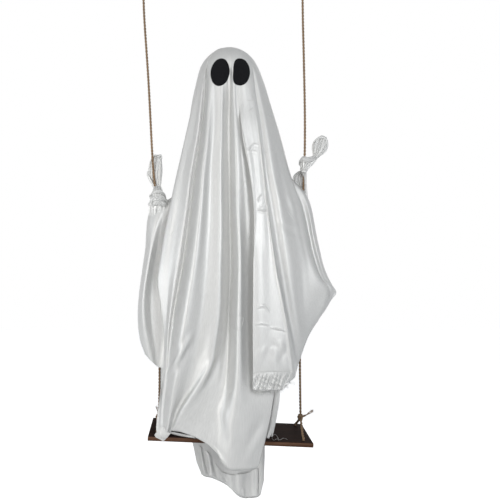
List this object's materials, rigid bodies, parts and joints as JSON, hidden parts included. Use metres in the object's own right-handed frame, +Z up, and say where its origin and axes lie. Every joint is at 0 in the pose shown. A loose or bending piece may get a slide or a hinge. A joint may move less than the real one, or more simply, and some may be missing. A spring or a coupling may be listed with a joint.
{
  "type": "swinging ghost decoration",
  "caption": "Hanging ghost for a party: a satin sheet over a ball head with two oval eyes, knotted round two ropes and seated on a wooden swing board.",
  "frame": {"origin": "midway between the tops of the two hanging loops, where the outside hooks hold them", "axes": "+Z up, the ghost faces -Y, +X towards the right end of its board as seen from in front"},
  "size_m": [0.3907, 0.2024, 1.0781],
  "materials": {
    "stained_wood": "dark stain, satin",
    "bare_wood": "bare",
    "screw_steel": "zinc plated",
    "foam": "matte",
    "white_satin": "satin weave with a soft sheen",
    "black_felt": "felt",
    "jute": "twisted natural fibre"
  },
  "bodies": {
    "root": {"seat_board": "stained_wood", "support_post": "bare_wood", "post_screw": "screw_steel", "head_ball": "foam", "ghost_sheet": "white_satin", "left_eye": "black_felt", "right_eye": "black_felt", "left_rope": "jute", "right_rope": "jute", "left_sling": "jute", "right_sling": "jute", "left_seat_knot": "jute", "right_seat_knot": "jute", "left_rope_tail": "jute", "right_rope_tail": "jute", "left_hanging_knot": "jute", "right_hanging_knot": "jute", "left_hanging_loop": "jute", "right_hanging_loop": "jute"}
  },
  "joints": []
}
